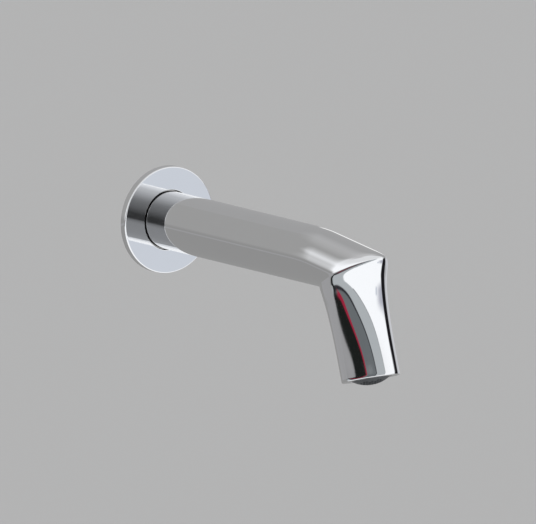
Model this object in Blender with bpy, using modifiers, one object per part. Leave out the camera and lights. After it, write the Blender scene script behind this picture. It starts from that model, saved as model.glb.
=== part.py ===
"""Wall spout: a chrome spout of one casting on a slip-on nipple, with its wall flange, seals and aerator.

The wall is the plane Y = 0 and the spout stands out of it along -Y, so "forward" below is -Y. The origin
is where the tube's axis meets the wall, +Z is up and all sizes are in metres.
"""

import math

import bmesh
import bpy
from mathutils import Matrix, Vector

# Clearance between pieces that meet
CLEARANCE = 0.0003

# Spout body: the tube
TUBE_DIAMETER = 0.0325
REACH = 0.1983  # wall to the middle of the outlet
BODY_WALL = 0.003
BODY_REAR = 0.0005  # the tube's rear end, forward of the wall
REAR_CHAMFER = 0.0005

# Spout body: the elbow, turned about a line across the inner corner
BEND_SETBACK = 0.0410  # outlet middle back to the inner corner
INNER_FILLET = 0.0014
CROWN_EASE = 0.0175  # stretch before the elbow over which the top line tips down
CROWN_SLOPE = math.radians(7.1)
SHOULDER_SHARPNESS = 16.0  # how tightly the top line turns into the front line
NECK_DEPTH = 0.0479  # fore and aft, through the inner corner
NECK_LEAN = math.radians(18.0)

# Spout body: the nozzle, whose leans are measured forward from straight down
OUTLET_DROP = 0.0620  # tube axis down to the middle of the outlet
TIP_DIAMETER = 0.0328
TIP_LEAN = math.radians(16.0)
TIP_ROUNDING = 0.0004
BACK_LEAN_TOP = math.radians(42.0)
BACK_LEAN_TIP = math.radians(18.0)
FRONT_LEAN_TOP = math.radians(-9.4)
FRONT_LEAN_TIP = math.radians(12.0)

# Wall flange, turned, with a hollow back, as deep as its O-ring and the lips on both sides of it need
FLANGE_OVERHANG = 0.01375  # the rim stands out from the tube by this all round
FLANGE_EDGE_RADIUS = 0.0006
FLANGE_PLATE = 0.0015
FLANGE_RIM = 0.0018
FLANGE_HUB = 0.0036  # radial width of the hub round the tube
FLANGE_HUB_REAR = 0.0006  # the hub stops short of the wall
FLANGE_GAP = 0.0007  # open ring round the tube
FLANGE_LIP = 0.0007
FLANGE_RING_CORD = 0.0019

# Inlet nipple: male thread to the wall, spigot with two seals to the body
THREAD_DIAMETER = 0.0209
THREAD_LENGTH = 0.0140
THREAD_CHAMFER = 0.0010
SPIGOT_DIAMETER = 0.0180
SPIGOT_LENGTH = 0.0275
SPIGOT_CHAMFER = 0.0008
NIPPLE_BORE = 0.0090
KEY_ACROSS_FLATS = 0.0100
KEY_DEPTH = 0.0080
SEAL_CORD = 0.0018
REAR_SEAL_FORWARD = 0.0182
SEAL_SPACING = 0.0046
LOCK_GROOVE_DEPTH = 0.0010
SOCKET_END_GAP = 0.0030  # open space in front of the spigot

# Set screw under the tube
SCREW_DIAMETER = 0.0058
SCREW_FORWARD = 0.0120
SCREW_RECESS = 0.0006
SCREW_KEY = 0.0030
SCREW_KEY_DEPTH = 0.0030

# Aerator, along the outlet's axis, stacked upward from the outlet's face
AERATOR_BORE = 0.0240
SEAT_GAP = 0.0006  # open ring round the strainer, in the seat's bore
HOUSING_WALL = 0.0007
HOUSING_LENGTH = 0.0077
HOUSING_NOTCHES = 4
NOTCH_WIDTH = 0.0024
NOTCH_DEPTH = 0.0010
CASE_WALL = 0.0010
CASE_FLANGE = 0.0010
CASE_LEDGE = 0.0008  # inner step that the jet plate rests on
GASKET_THICKNESS = 0.0014
GRID_RISE = 0.0033  # how far the grid's dome stands out of the outlet
GRID_SHELL = 0.0012
GRID_RIM = 0.0018
GRID_HOLE = 0.0020
GRID_PITCH = 0.0028
MIXER_WEB = 0.0005
MIXER_HOLE = 0.0018
MIXER_PITCH = 0.0028
JET_PLATE_THICKNESS = 0.0012
JET_PLATE_LIFT = 0.0048  # above the outlet's face
JET_DIAMETER = 0.0010
JET_COUNT = 12
REGULATOR_CORD = 0.0014
REGULATOR_DIAMETER = 0.0094
STRAINER_SHELL = 0.0008
STRAINER_RISE = 0.0042
STRAINER_HOLE = 0.0012
STRAINER_RINGS = ((0.34, 6), (0.68, 12))  # share of the radius, holes

# Facets
BODY_SIDES = 36
WATERWAY_SIDES = 28
BEND_STEPS = 6
SHOULDER_STEPS = 9
NOZZLE_STEPS = 9
EASE_STEPS = 4
TURNED_STEPS = 44
SMALL_STEPS = 26
CORD_STEPS = 8

TUBE_RADIUS = TUBE_DIAMETER / 2
TIP_RADIUS = TIP_DIAMETER / 2
CORNER_FORWARD = REACH - BEND_SETBACK
CORNER_HEIGHT = -TUBE_RADIUS - INNER_FILLET
NECK_TURN = math.pi / 2 - NECK_LEAN
SHOULDER_TURN = 0.6 * NECK_TURN
SOCKET_RADIUS = SPIGOT_DIAMETER / 2 + CLEARANCE
SOCKET_END = SPIGOT_LENGTH + SOCKET_END_GAP
OUTLET_FORWARD_AND_UP = (REACH, -OUTLET_DROP)

FLANGE_RADIUS = TUBE_RADIUS + FLANGE_OVERHANG
FLANGE_BORE = TUBE_RADIUS + FLANGE_GAP
FLANGE_GROOVE_HALF = FLANGE_RING_CORD / 2 + CLEARANCE
FLANGE_RING_RADIUS = TUBE_RADIUS + CLEARANCE + FLANGE_RING_CORD / 2
FLANGE_RING_FORWARD = FLANGE_HUB_REAR + FLANGE_LIP + FLANGE_GROOVE_HALF
FLANGE_DEPTH = FLANGE_RING_FORWARD + FLANGE_GROOVE_HALF + FLANGE_LIP

HOUSING_RADIUS = AERATOR_BORE / 2 - CLEARANCE
CASE_RADIUS = HOUSING_RADIUS - HOUSING_WALL - CLEARANCE
CASE_BORE = CASE_RADIUS - CASE_WALL
CASE_FLANGE_BASE = HOUSING_LENGTH + CLEARANCE
CASE_TOP = CASE_FLANGE_BASE + CASE_FLANGE
CASE_FOOT = GRID_RIM + CLEARANCE
GASKET_BASE = CASE_TOP + CLEARANCE
AERATOR_BORE_DEPTH = GASKET_BASE + GASKET_THICKNESS + CLEARANCE
JET_PLATE_RADIUS = CASE_BORE - CLEARANCE
JET_PLATE_TOP = JET_PLATE_LIFT + JET_PLATE_THICKNESS
SEAT_RADIUS = JET_PLATE_RADIUS + SEAT_GAP
MIXER_RADIUS = CASE_BORE - CASE_LEDGE - CLEARANCE
MIXER_SPACE = JET_PLATE_LIFT - CLEARANCE - CASE_FOOT
MIXER_HEIGHT = (MIXER_SPACE - CLEARANCE) / 2


def clear_scene():
    for found in list(bpy.data.objects):
        bpy.data.objects.remove(found, do_unlink=True)


def collection(name):
    made = bpy.data.collections.new(name)
    bpy.context.scene.collection.children.link(made)
    return made


def finish(name, colour, roughness, metallic):
    """A plain material with one colour, roughness and metallic value."""
    made = bpy.data.materials.new(name)
    made.use_nodes = True
    shader = made.node_tree.nodes["Principled BSDF"]
    shader.inputs["Base Color"].default_value = (*colour, 1.0)
    shader.inputs["Roughness"].default_value = roughness
    shader.inputs["Metallic"].default_value = metallic
    return made


def place(name, mesh, group, material=None, matrix=None):
    made = bpy.data.objects.new(name, mesh)
    if matrix is not None:
        made.matrix_world = matrix
    group.objects.link(made)
    if material is not None:
        mesh.materials.append(material)
    mesh.shade_smooth()
    mesh.set_sharp_from_angle(angle=math.radians(30))
    return made


def loft(name, rings, group, material=None):
    """A closed solid through rings of points, flat at its two ends."""
    work = bmesh.new()
    rows = [[work.verts.new(point) for point in ring] for ring in rings]
    for row, following in zip(rows, rows[1:]):
        for i in range(len(row)):
            j = (i + 1) % len(row)
            work.faces.new((row[i], row[j], following[j], following[i]))
    work.faces.new(list(reversed(rows[0])))
    work.faces.new(rows[-1])
    bmesh.ops.recalc_face_normals(work, faces=work.faces)
    mesh = bpy.data.meshes.new(name)
    work.to_mesh(mesh)
    work.free()
    return place(name, mesh, group, material)


def turned(name, profile, group, material=None, matrix=None, steps=SMALL_STEPS, closed=True):
    """A profile of (radius, height) points, listed down its outer side, turned about the local Z axis."""
    mesh = bpy.data.meshes.new(name)
    edges = [(i, i + 1) for i in range(len(profile) - 1)]
    if closed:
        edges.append((len(profile) - 1, 0))
    mesh.from_pydata([(radius, 0.0, height) for radius, height in profile], edges, [])
    made = place(name, mesh, group, material, matrix)
    screw = made.modifiers.new("turn", "SCREW")
    screw.angle = math.tau
    screw.steps = screw.render_steps = steps
    screw.use_merge_vertices = True
    screw.merge_threshold = 0.00001
    screw.use_smooth_shade = True
    return made


def prism(name, sides, across_corners, length, group, matrix, turn=0.0):
    """A regular prism or fine cylinder whose near end is at the matrix's place, along its +Z."""
    work = bmesh.new()
    bmesh.ops.create_cone(
        work,
        cap_ends=True,
        segments=sides,
        radius1=across_corners / 2,
        radius2=across_corners / 2,
        depth=length,
        matrix=Matrix.Rotation(turn, 4, "Z") @ Matrix.Translation((0, 0, length / 2)),
    )
    mesh = bpy.data.meshes.new(name)
    work.to_mesh(mesh)
    work.free()
    return place(name, mesh, group, matrix=matrix)


def cut(target, *cutters):
    for cutter in cutters:
        cutter.hide_render = True
        cutter.display_type = "WIRE"
        boolean = target.modifiers.new(f"cut {cutter.name}", "BOOLEAN")
        boolean.operation = "DIFFERENCE"
        boolean.object = cutter


def arc(centre, radius, start, end, steps):
    """Points of an arc in the (radius, height) plane, from one angle to another."""
    return [
        (
            centre[0] + radius * math.cos(start + (end - start) * i / steps),
            centre[1] + radius * math.sin(start + (end - start) * i / steps),
        )
        for i in range(steps + 1)
    ]


def o_ring(name, radius, height, cord, group, material, matrix, steps=SMALL_STEPS):
    """A ring of round cord about the local Z axis."""
    section_points = arc((radius, height), cord / 2, math.pi, -math.pi, CORD_STEPS)[:-1]
    return turned(name, section_points, group, material, matrix, steps)


def forward_frame(forward=0.0):
    """Local Z runs forward along the tube's axis, from a place that far from the wall."""
    return Matrix.Translation((0, -forward, 0)) @ Matrix.Rotation(math.pi / 2, 4, "X")


def outlet_frame():
    """Local Z runs from the middle of the outlet's face back up into the nozzle."""
    return Matrix.Translation((0, -REACH, -OUTLET_DROP)) @ Matrix.Rotation(-TIP_LEAN, 4, "X")


def lean_direction(lean):
    """(forward, up) of a line that runs down and leans forward."""
    return Vector((math.sin(lean), -math.cos(lean)))


def turn_direction(turn):
    """(forward, up) of a section's long axis after the section has turned about the inner corner."""
    return Vector((math.sin(turn), math.cos(turn)))


def corner():
    return Vector((CORNER_FORWARD, CORNER_HEIGHT))


def crown_height(forward):
    """Height of the tube's top line: level, then tipping down over the stretch before the elbow."""
    past = max(0.0, forward - (CORNER_FORWARD - CROWN_EASE))
    return TUBE_RADIUS - math.tan(CROWN_SLOPE) * past**2 / (2 * CROWN_EASE)


def outer_reach(turn):
    """From the inner corner out to the elbow's outside, where the top line runs into the front line."""
    rise = crown_height(CORNER_FORWARD) - CORNER_HEIGHT
    to_crown = rise / (math.cos(turn) + math.tan(CROWN_SLOPE) * math.sin(turn))
    front_offset = (INNER_FILLET + NECK_DEPTH) * math.cos(NECK_LEAN - FRONT_LEAN_TOP)
    facing = math.sin(turn + FRONT_LEAN_TOP)
    if facing <= 0:
        return to_crown
    to_front = front_offset / facing
    power = SHOULDER_SHARPNESS
    return (to_crown**-power + to_front**-power) ** (-1 / power)


def inner_reach(turn):
    """From the inner corner out to its fillet, which runs on as a straight line at the nozzle's back."""
    return INNER_FILLET / math.cos(max(0.0, turn - (math.pi / 2 - BACK_LEAN_TOP)))


def hermite(start, start_direction, end, end_direction, share):
    """A smooth curve between two points with a direction at each."""
    span = (end - start).length
    return (
        (2 * share**3 - 3 * share**2 + 1) * start
        + (share**3 - 2 * share**2 + share) * span * start_direction
        + (3 * share**2 - 2 * share**3) * end
        + (share**3 - share**2) * span * end_direction
    )


def section(back, front, half_width, inset, sides):
    """An oval ring between a back and a front point of the middle plane, set in by a wall."""
    middle = (back + front) / 2
    half = (front - back) / 2
    half -= half.normalized() * inset
    ring = []
    for i in range(sides):
        angle = math.tau * i / sides
        forward, up = middle + half * math.cos(angle)
        ring.append((math.sin(angle) * (half_width - inset), -forward, up))
    return ring


def tube_ring(forward, inset, sides, shrink=0.0):
    back = Vector((forward, -TUBE_RADIUS))
    front = Vector((forward, crown_height(forward)))
    return section(back, front, TUBE_RADIUS, inset + shrink, sides)


def bend_ring(turn, inset, sides):
    along = turn_direction(turn)
    back = corner() + along * inner_reach(turn)
    front = corner() + along * outer_reach(turn)
    return section(back, front, TUBE_RADIUS, inset, sides)


def nozzle_ring(share, inset, sides):
    """A ring that far down the nozzle, from the neck at 0 to the outlet's face at 1."""
    across_neck = turn_direction(NECK_TURN)
    across_tip = turn_direction(math.pi / 2 - TIP_LEAN)
    outlet = Vector(OUTLET_FORWARD_AND_UP)
    back = hermite(
        corner() + across_neck * inner_reach(NECK_TURN),
        lean_direction(BACK_LEAN_TOP),
        outlet - across_tip * TIP_RADIUS,
        lean_direction(BACK_LEAN_TIP),
        share,
    )
    front = hermite(
        corner() + across_neck * outer_reach(NECK_TURN),
        lean_direction(FRONT_LEAN_TOP),
        outlet + across_tip * TIP_RADIUS,
        lean_direction(FRONT_LEAN_TIP),
        share,
    )
    half_width = TIP_RADIUS + (TUBE_RADIUS - TIP_RADIUS) * (1 - share) ** 2
    return section(back, front, half_width, inset, sides)


def outlet_ring(radius, out, sides):
    """A round ring about the outlet's axis, that far out of its face."""
    across = turn_direction(math.pi / 2 - TIP_LEAN)
    middle = Vector(OUTLET_FORWARD_AND_UP) + lean_direction(TIP_LEAN) * out
    return section(middle - across * radius, middle + across * radius, radius, 0.0, sides)


def bend_turns():
    """How far each of the elbow's sections has turned: they lie closer together round the shoulder."""
    step = SHOULDER_TURN / BEND_STEPS
    shoulder_step = (NECK_TURN - SHOULDER_TURN) / SHOULDER_STEPS
    turns = [step * i for i in range(BEND_STEPS)]
    return turns + [SHOULDER_TURN + shoulder_step * i for i in range(SHOULDER_STEPS + 1)]


def elbow_rings(inset, sides):
    """Rings from where the top line starts to tip down, round the elbow to the neck."""
    ease = [
        tube_ring(CORNER_FORWARD - CROWN_EASE * (1 - i / EASE_STEPS), inset, sides)
        for i in range(EASE_STEPS)
    ]
    return ease + [bend_ring(turn, inset, sides) for turn in bend_turns()]


def outer_rings():
    sides = BODY_SIDES
    rings = [
        tube_ring(BODY_REAR, 0.0, sides, shrink=REAR_CHAMFER),
        tube_ring(BODY_REAR + REAR_CHAMFER, 0.0, sides),
    ]
    rings += elbow_rings(0.0, sides)
    last = 1 - TIP_ROUNDING / OUTLET_DROP
    rings += [nozzle_ring(last * i / NOZZLE_STEPS, 0.0, sides) for i in range(1, NOZZLE_STEPS + 1)]
    for i in range(1, 4):
        angle = math.pi / 2 * i / 3
        rings.append(
            outlet_ring(
                TIP_RADIUS - TIP_ROUNDING * (1 - math.cos(angle)),
                -TIP_ROUNDING * (1 - math.sin(angle)),
                sides,
            )
        )
    return rings


def waterway_rings():
    """The hollow that the water runs through, narrowing to the aerator's seat."""
    sides = WATERWAY_SIDES
    rings = [tube_ring(SOCKET_END, BODY_WALL, sides)]
    rings += elbow_rings(BODY_WALL, sides)
    tip_inset = TIP_RADIUS - SEAT_RADIUS
    for i in range(1, NOZZLE_STEPS):
        share = i / NOZZLE_STEPS
        rings.append(nozzle_ring(share, BODY_WALL + (tip_inset - BODY_WALL) * share, sides))
    rings.append(outlet_ring(SEAT_RADIUS, BODY_WALL, sides))
    return rings


def make_spout_body(parts, cutters, chrome):
    body = loft("spout_body", outer_rings(), parts, chrome)
    waterway = loft("waterway", waterway_rings(), cutters)
    past = BODY_WALL
    mouth = SOCKET_RADIUS + SPIGOT_CHAMFER
    socket = turned(
        "nipple_socket",
        [
            (0, SOCKET_END + past),
            (SOCKET_RADIUS, SOCKET_END + past),
            (SOCKET_RADIUS, BODY_REAR + SPIGOT_CHAMFER),
            (mouth, BODY_REAR),
            (mouth, -past),
            (0, -past),
        ],
        cutters,
        matrix=forward_frame(),
        closed=False,
    )
    aerator_bore = prism(
        "aerator_bore",
        TURNED_STEPS,
        AERATOR_BORE,
        AERATOR_BORE_DEPTH + past,
        cutters,
        outlet_frame() @ Matrix.Translation((0, 0, -past)),
    )
    screw_hole = prism(
        "screw_hole",
        SMALL_STEPS,
        SCREW_DIAMETER + 2 * CLEARANCE,
        TUBE_RADIUS,
        cutters,
        Matrix.Translation((0, -SCREW_FORWARD, -TUBE_RADIUS - past)),
    )
    cut(body, waterway, socket, aerator_bore, screw_hole)


def make_wall_flange(parts, chrome):
    outer = FLANGE_RADIUS
    recess_inner = FLANGE_BORE + FLANGE_HUB
    recess_outer = outer - FLANGE_RIM
    recess_depth = FLANGE_DEPTH - FLANGE_PLATE
    groove = FLANGE_RING_RADIUS + FLANGE_GROOVE_HALF
    edge = FLANGE_EDGE_RADIUS
    profile = [(FLANGE_BORE, FLANGE_DEPTH)]
    profile += arc((outer - edge, FLANGE_DEPTH - edge), edge, math.pi / 2, 0, 4)
    profile += [
        (outer, 0),
        (recess_outer, 0),
        (recess_outer, recess_depth),
        (recess_inner, recess_depth),
        (recess_inner, FLANGE_HUB_REAR),
        (FLANGE_BORE, FLANGE_HUB_REAR),
        (FLANGE_BORE, FLANGE_RING_FORWARD - FLANGE_GROOVE_HALF),
        (groove, FLANGE_RING_FORWARD - FLANGE_GROOVE_HALF),
        (groove, FLANGE_RING_FORWARD + FLANGE_GROOVE_HALF),
        (FLANGE_BORE, FLANGE_RING_FORWARD + FLANGE_GROOVE_HALF),
    ]
    turned("wall_flange", profile, parts, chrome, forward_frame(), steps=TURNED_STEPS)


def make_flange_ring(parts, rubber):
    o_ring(
        "flange_o_ring",
        FLANGE_RING_RADIUS,
        FLANGE_RING_FORWARD,
        FLANGE_RING_CORD,
        parts,
        rubber,
        forward_frame(),
        TURNED_STEPS,
    )


def make_wall_seal(parts, foam):
    """A flat foam ring in the flange's back, flush with the wall."""
    inner = FLANGE_BORE + FLANGE_HUB + CLEARANCE
    outer = FLANGE_RADIUS - FLANGE_RIM - CLEARANCE
    top = FLANGE_DEPTH - FLANGE_PLATE - CLEARANCE
    profile = [(inner, top), (outer, top), (outer, 0), (inner, 0)]
    turned("wall_seal", profile, parts, foam, forward_frame())


def seal_places():
    return (REAR_SEAL_FORWARD, REAR_SEAL_FORWARD + SEAL_SPACING)


def make_inlet_nipple(parts, cutters, brass):
    """Thread into the wall, spigot forward, with two seal grooves and a groove for the set screw."""
    spigot = SPIGOT_DIAMETER / 2
    thread = THREAD_DIAMETER / 2
    bore = NIPPLE_BORE / 2
    groove_floor = SOCKET_RADIUS - CLEARANCE - SEAL_CORD - CLEARANCE
    groove_half = SEAL_CORD / 2 + CLEARANCE
    profile = [(bore, SPIGOT_LENGTH), (spigot - SPIGOT_CHAMFER, SPIGOT_LENGTH)]
    profile.append((spigot, SPIGOT_LENGTH - SPIGOT_CHAMFER))
    for forward in reversed(seal_places()):
        profile += [
            (spigot, forward + groove_half),
            (groove_floor, forward + groove_half),
            (groove_floor, forward - groove_half),
            (spigot, forward - groove_half),
        ]
    profile += [
        (spigot, SCREW_FORWARD + SCREW_DIAMETER / 2),
        (spigot - LOCK_GROOVE_DEPTH, SCREW_FORWARD + SCREW_DIAMETER / 2 - LOCK_GROOVE_DEPTH),
        (spigot - LOCK_GROOVE_DEPTH, SCREW_FORWARD - SCREW_DIAMETER / 2 + LOCK_GROOVE_DEPTH),
        (spigot, SCREW_FORWARD - SCREW_DIAMETER / 2),
        (spigot, 0),
        (thread, 0),
        (thread, THREAD_CHAMFER - THREAD_LENGTH),
        (thread - THREAD_CHAMFER, -THREAD_LENGTH),
        (bore, -THREAD_LENGTH),
    ]
    nipple = turned("inlet_nipple", profile, parts, brass, forward_frame())
    key = prism(
        "key_socket",
        6,
        KEY_ACROSS_FLATS / math.cos(math.pi / 6),
        KEY_DEPTH + SOCKET_END_GAP,
        cutters,
        forward_frame(SPIGOT_LENGTH - KEY_DEPTH),
    )
    cut(nipple, key)


def make_nipple_seals(parts, rubber):
    radius = SOCKET_RADIUS - CLEARANCE - SEAL_CORD / 2
    for name, forward in zip(("nipple_o_ring_rear", "nipple_o_ring_front"), seal_places()):
        o_ring(name, radius, forward, SEAL_CORD, parts, rubber, forward_frame())


def make_set_screw(parts, cutters, steel):
    """A grub screw whose point presses on the nipple's groove from below."""
    radius = SCREW_DIAMETER / 2
    point = SPIGOT_DIAMETER / 2 - LOCK_GROOVE_DEPTH + CLEARANCE
    length = TUBE_RADIUS - SCREW_RECESS - point
    cone = radius / 2
    frame = Matrix.Translation((0, -SCREW_FORWARD, -TUBE_RADIUS + SCREW_RECESS))
    profile = [(0, length), (radius - cone, length), (radius, length - cone), (radius, 0), (0, 0)]
    screw = turned("set_screw", profile, parts, steel, frame, closed=False)
    key = prism(
        "screw_key",
        6,
        SCREW_KEY / math.cos(math.pi / 6),
        SCREW_KEY_DEPTH + SCREW_RECESS,
        cutters,
        frame @ Matrix.Translation((0, 0, -SCREW_RECESS)),
    )
    cut(screw, key)


def make_aerator_housing(parts, cutters, chrome):
    """The threaded ring, flush with the outlet, with notches for its key."""
    outer = HOUSING_RADIUS
    inner = outer - HOUSING_WALL
    profile = [(inner, HOUSING_LENGTH), (outer, HOUSING_LENGTH), (outer, 0), (inner, 0)]
    housing = turned("aerator_housing", profile, parts, chrome, outlet_frame())
    for i in range(HOUSING_NOTCHES):
        notch = prism(
            f"key_notch_{i}",
            4,
            NOTCH_WIDTH * math.sqrt(2),
            2 * NOTCH_DEPTH,
            cutters,
            outlet_frame()
            @ Matrix.Rotation(math.tau * (i + 0.5) / HOUSING_NOTCHES, 4, "Z")
            @ Matrix.Translation((outer - HOUSING_WALL / 2, 0, -NOTCH_DEPTH)),
            turn=math.pi / 4,
        )
        cut(housing, notch)


def make_aerator_case(parts, plastic):
    """The cartridge's cup: its flange rests on the housing and its ledge carries the jet plate."""
    ledge = JET_PLATE_LIFT - CLEARANCE
    profile = [
        (CASE_BORE, CASE_TOP),
        (HOUSING_RADIUS, CASE_TOP),
        (HOUSING_RADIUS, CASE_FLANGE_BASE),
        (CASE_RADIUS, CASE_FLANGE_BASE),
        (CASE_RADIUS, CASE_FOOT),
        (CASE_BORE - CASE_LEDGE, CASE_FOOT),
        (CASE_BORE - CASE_LEDGE, ledge),
        (CASE_BORE, ledge),
    ]
    turned("aerator_case", profile, parts, plastic, outlet_frame())


def make_aerator_gasket(parts, rubber):
    top = GASKET_BASE + GASKET_THICKNESS
    profile = [(CASE_BORE, top), (HOUSING_RADIUS, top), (HOUSING_RADIUS, GASKET_BASE)]
    profile.append((CASE_BORE, GASKET_BASE))
    turned("aerator_gasket", profile, parts, rubber, outlet_frame())


def dome(radius, rise, height, steps):
    """(radius, height) points of a spherical cap, from its top or lowest point out to its rim."""
    ball = (radius**2 + rise**2) / (2 * abs(rise))
    sign = math.copysign(1, rise)
    widest = math.asin(min(1.0, radius / ball))
    points = []
    for i in range(steps + 1):
        angle = widest * i / steps
        points.append((ball * math.sin(angle), height + rise - sign * ball * (1 - math.cos(angle))))
    return points


def hex_places(limit, pitch):
    """Middles of a honeycomb's cells that lie within a radius."""
    rows = int(limit / pitch) + 1
    places = []
    for row in range(-rows, rows + 1):
        for column in range(-rows, rows + 1):
            x = pitch * (column + row / 2)
            y = pitch * row * math.sqrt(3) / 2
            if math.hypot(x, y) <= limit:
                places.append((x, y))
    return places


def drills(name, places, diameter, bottom, top, sides, group):
    """Separate prisms in one cutter, one for each place, along the outlet's axis."""
    work = bmesh.new()
    for x, y in places:
        bmesh.ops.create_cone(
            work,
            cap_ends=True,
            segments=sides,
            radius1=diameter / 2,
            radius2=diameter / 2,
            depth=top - bottom,
            matrix=Matrix.Translation((x, y, (top + bottom) / 2)),
        )
    mesh = bpy.data.meshes.new(name)
    work.to_mesh(mesh)
    work.free()
    return place(name, mesh, group, matrix=outlet_frame())


def make_outlet_grid(parts, cutters, plastic):
    """The domed honeycomb that the stream leaves through, with a rim for the case and the mixers."""
    inner = MIXER_RADIUS - CLEARANCE
    outside = dome(CASE_RADIUS, -GRID_RISE, 0.0, 6)
    inside = dome(inner, -GRID_RISE + GRID_SHELL, 0.0, 4)
    profile = inside + [(inner, GRID_RIM), (CASE_RADIUS, GRID_RIM)] + outside[::-1]
    grid = turned("outlet_grid", profile, parts, plastic, outlet_frame(), closed=False)
    places = hex_places(inner - GRID_HOLE / 2, GRID_PITCH)
    cut(grid, drills("grid_holes", places, GRID_HOLE, -2 * GRID_RISE, GRID_RIM, 6, cutters))


def make_mixers(parts, cutters, plastic):
    """Two perforated discs with rims, one on the other, that break the jets up."""
    rim = MIXER_RADIUS - CLEARANCE - MIXER_WEB
    for name, base, odd in (
        ("mixing_screen_lower", CASE_FOOT, 0.0),
        ("mixing_screen_upper", CASE_FOOT + MIXER_HEIGHT + CLEARANCE, 0.5),
    ):
        top = base + MIXER_HEIGHT
        web = base + MIXER_WEB
        profile = [(0, web), (rim, web), (rim, top)]
        profile += [(MIXER_RADIUS, top), (MIXER_RADIUS, base), (0, base)]
        screen = turned(name, profile, parts, plastic, outlet_frame(), closed=False)
        shift = MIXER_PITCH * odd
        places = [(x + shift, y) for x, y in hex_places(rim - MIXER_HOLE - shift, MIXER_PITCH)]
        cut(screen, drills(f"{name}_holes", places, MIXER_HOLE, base - MIXER_WEB, top, 6, cutters))


def make_jet_plate(parts, cutters, plastic):
    """A disc with a ring of fine jets, which draw air into the stream."""
    profile = [(0, JET_PLATE_TOP), (JET_PLATE_RADIUS, JET_PLATE_TOP)]
    profile += [(JET_PLATE_RADIUS, JET_PLATE_LIFT), (0, JET_PLATE_LIFT)]
    plate = turned("jet_plate", profile, parts, plastic, outlet_frame(), closed=False)
    ring = (REGULATOR_DIAMETER / 2 + REGULATOR_CORD + MIXER_RADIUS) / 2
    places = [
        (ring * math.cos(math.tau * i / JET_COUNT), ring * math.sin(math.tau * i / JET_COUNT))
        for i in range(JET_COUNT)
    ]
    past = JET_PLATE_THICKNESS
    bottom, top = JET_PLATE_LIFT - past, JET_PLATE_TOP + past
    cut(plate, drills("jets", places, JET_DIAMETER, bottom, top, 8, cutters))


def make_regulator_ring(parts, rubber):
    """The soft ring on the jet plate that narrows the way as the pressure rises."""
    height = JET_PLATE_TOP + CLEARANCE + REGULATOR_CORD / 2
    radius = REGULATOR_DIAMETER / 2
    o_ring("flow_regulator_ring", radius, height, REGULATOR_CORD, parts, rubber, outlet_frame())


def make_strainer(parts, cutters, plastic):
    """The domed sieve on the jet plate, which stands up into the nozzle."""
    radius = JET_PLATE_RADIUS
    base = JET_PLATE_TOP + CLEARANCE
    outside = dome(radius, STRAINER_RISE, CASE_TOP, 5)
    inside = dome(radius - STRAINER_SHELL, STRAINER_RISE - STRAINER_SHELL, CASE_TOP, 5)
    profile = outside + [(radius, base), (radius - STRAINER_SHELL, base)] + inside[::-1]
    strainer = turned("strainer", profile, parts, plastic, outlet_frame(), closed=False)
    places = []
    for share, count in STRAINER_RINGS:
        for i in range(count):
            angle = math.tau * i / count
            places.append((radius * share * math.cos(angle), radius * share * math.sin(angle)))
    top = CASE_TOP + 2 * STRAINER_RISE
    cut(strainer, drills("sieve_holes", places, STRAINER_HOLE, CASE_TOP, top, 6, cutters))


def main():
    clear_scene()
    parts = collection("wall_spout")
    cutters = collection("cutters")
    chrome = finish("chrome", (0.86, 0.87, 0.88), 0.04, 1.0)
    brass = finish("brass", (0.78, 0.60, 0.32), 0.25, 1.0)
    steel = finish("steel", (0.62, 0.62, 0.60), 0.30, 1.0)
    rubber = finish("black_rubber", (0.02, 0.02, 0.02), 0.60, 0.0)
    foam = finish("grey_foam", (0.10, 0.10, 0.10), 0.90, 0.0)
    dark_plastic = finish("dark_plastic", (0.12, 0.12, 0.125), 0.40, 0.0)
    white_plastic = finish("white_plastic", (0.80, 0.80, 0.78), 0.45, 0.0)

    make_spout_body(parts, cutters, chrome)
    make_wall_flange(parts, chrome)
    make_flange_ring(parts, rubber)
    make_wall_seal(parts, foam)
    make_inlet_nipple(parts, cutters, brass)
    make_nipple_seals(parts, rubber)
    make_set_screw(parts, cutters, steel)
    make_aerator_housing(parts, cutters, chrome)
    make_aerator_case(parts, white_plastic)
    make_aerator_gasket(parts, rubber)
    make_outlet_grid(parts, cutters, dark_plastic)
    make_mixers(parts, cutters, white_plastic)
    make_jet_plate(parts, cutters, white_plastic)
    make_regulator_ring(parts, rubber)
    make_strainer(parts, cutters, white_plastic)
    bpy.context.view_layer.update()


main()
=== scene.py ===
"""Wall spout: models a chromed spout with its connection and aerator, and lights it."""

import bisect
import math
from typing import NamedTuple

import bmesh
import bpy
from bpy.props import FloatProperty, FloatVectorProperty, IntProperty, PointerProperty
from mathutils import Matrix, Vector


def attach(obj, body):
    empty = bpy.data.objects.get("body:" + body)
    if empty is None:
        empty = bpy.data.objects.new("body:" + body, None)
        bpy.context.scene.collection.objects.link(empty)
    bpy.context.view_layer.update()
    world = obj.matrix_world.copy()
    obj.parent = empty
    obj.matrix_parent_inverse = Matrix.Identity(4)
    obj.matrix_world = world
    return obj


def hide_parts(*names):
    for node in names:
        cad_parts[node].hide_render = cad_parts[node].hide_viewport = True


bl_info = {
    "name": "Wall Spout",
    "version": (1, 0, 0),
    "blender": (4, 5, 0),
    "location": "View3D > Sidebar > Wall Spout",
    "description": "Models a chromed wall spout with its flange, brass nipple and honeycomb outlet",
    "category": "Add Mesh",
}

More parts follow.
